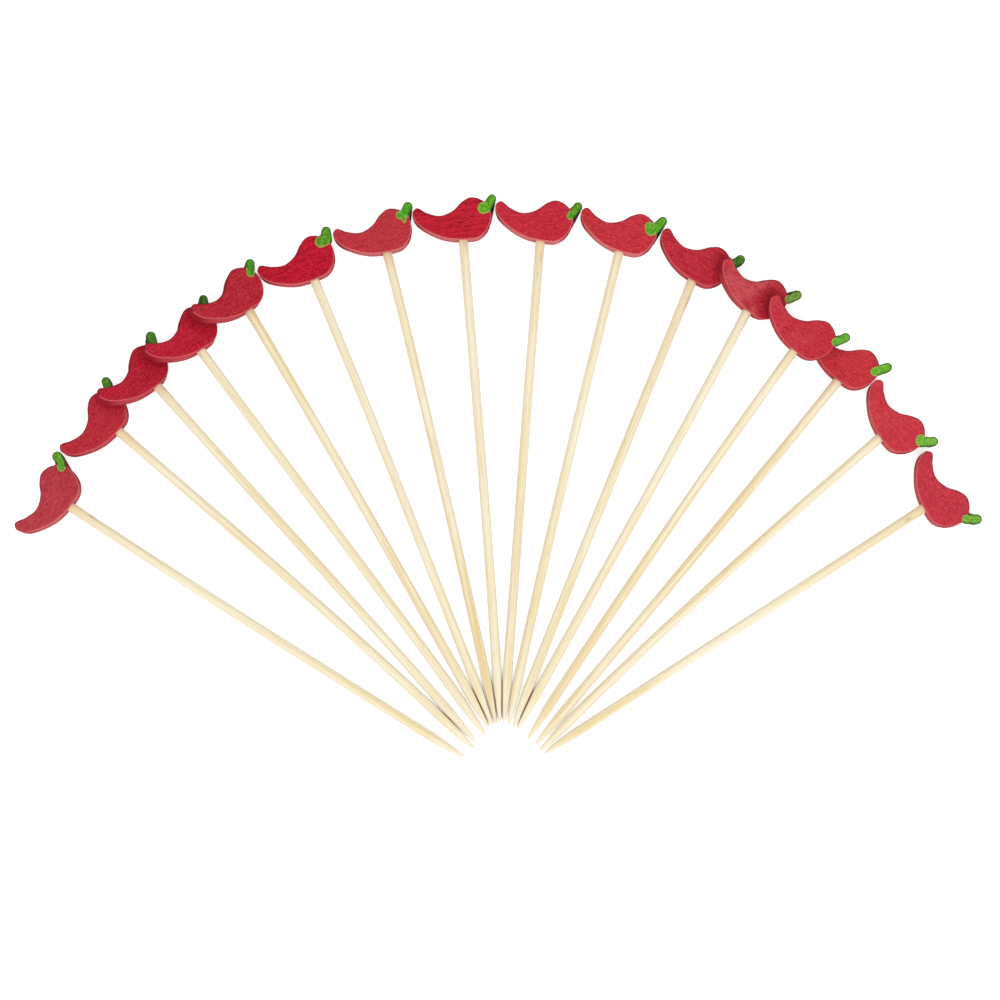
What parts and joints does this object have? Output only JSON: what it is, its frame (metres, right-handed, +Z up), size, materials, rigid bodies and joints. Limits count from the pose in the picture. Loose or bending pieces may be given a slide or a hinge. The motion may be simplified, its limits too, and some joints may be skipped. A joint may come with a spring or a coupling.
{
  "type": "appetizer pick",
  "caption": "Appetizer picks laid out as a fan: pointed bamboo skewers, each with a flat red wooden chilli on its end and thick green paint on the chilli's stalk.",
  "frame": {"origin": "middle of the fan's box, on the table that it lies on", "axes": "+X across the fan to the right, +Y from the points towards the chillies, +Z up from the table, out of the painted faces"},
  "size_m": [0.222, 0.1306, 0.0097],
  "materials": {
    "bamboo": "bare split bamboo, smooth turned, matte",
    "red_wood": "dyed red wood, matte, grain showing through",
    "green_paint": "thick brushed paint, satin"
  },
  "bodies": {
    "root": {"pick_01_skewer": "bamboo", "pick_01_chilli": "red_wood", "pick_01_stalk": "green_paint", "pick_02_skewer": "bamboo", "pick_02_chilli": "red_wood", "pick_02_stalk": "green_paint", "pick_03_skewer": "bamboo", "pick_03_chilli": "red_wood", "pick_03_stalk": "green_paint", "pick_04_skewer": "bamboo", "pick_04_chilli": "red_wood", "pick_04_stalk": "green_paint", "pick_05_skewer": "bamboo", "pick_05_chilli": "red_wood", "pick_05_stalk": "green_paint", "pick_06_skewer": "bamboo", "pick_06_chilli": "red_wood", "pick_06_stalk": "green_paint", "pick_07_skewer": "bamboo", "pick_07_chilli": "red_wood", "pick_07_stalk": "green_paint", "pick_08_skewer": "bamboo", "pick_08_chilli": "red_wood", "pick_08_stalk": "green_paint", "pick_09_skewer": "bamboo", "pick_09_chilli": "red_wood", "pick_09_stalk": "green_paint", "pick_10_skewer": "bamboo", "pick_10_chilli": "red_wood", "pick_10_stalk": "green_paint", "pick_11_skewer": "bamboo", "pick_11_chilli": "red_wood", "pick_11_stalk": "green_paint", "pick_12_skewer": "bamboo", "pick_12_chilli": "red_wood", "pick_12_stalk": "green_paint", "pick_13_skewer": "bamboo", "pick_13_chilli": "red_wood", "pick_13_stalk": "green_paint", "pick_14_skewer": "bamboo", "pick_14_chilli": "red_wood", "pick_14_stalk": "green_paint", "pick_15_skewer": "bamboo", "pick_15_chilli": "red_wood", "pick_15_stalk": "green_paint", "pick_16_skewer": "bamboo", "pick_16_chilli": "red_wood", "pick_16_stalk": "green_paint"}
  },
  "joints": []
}
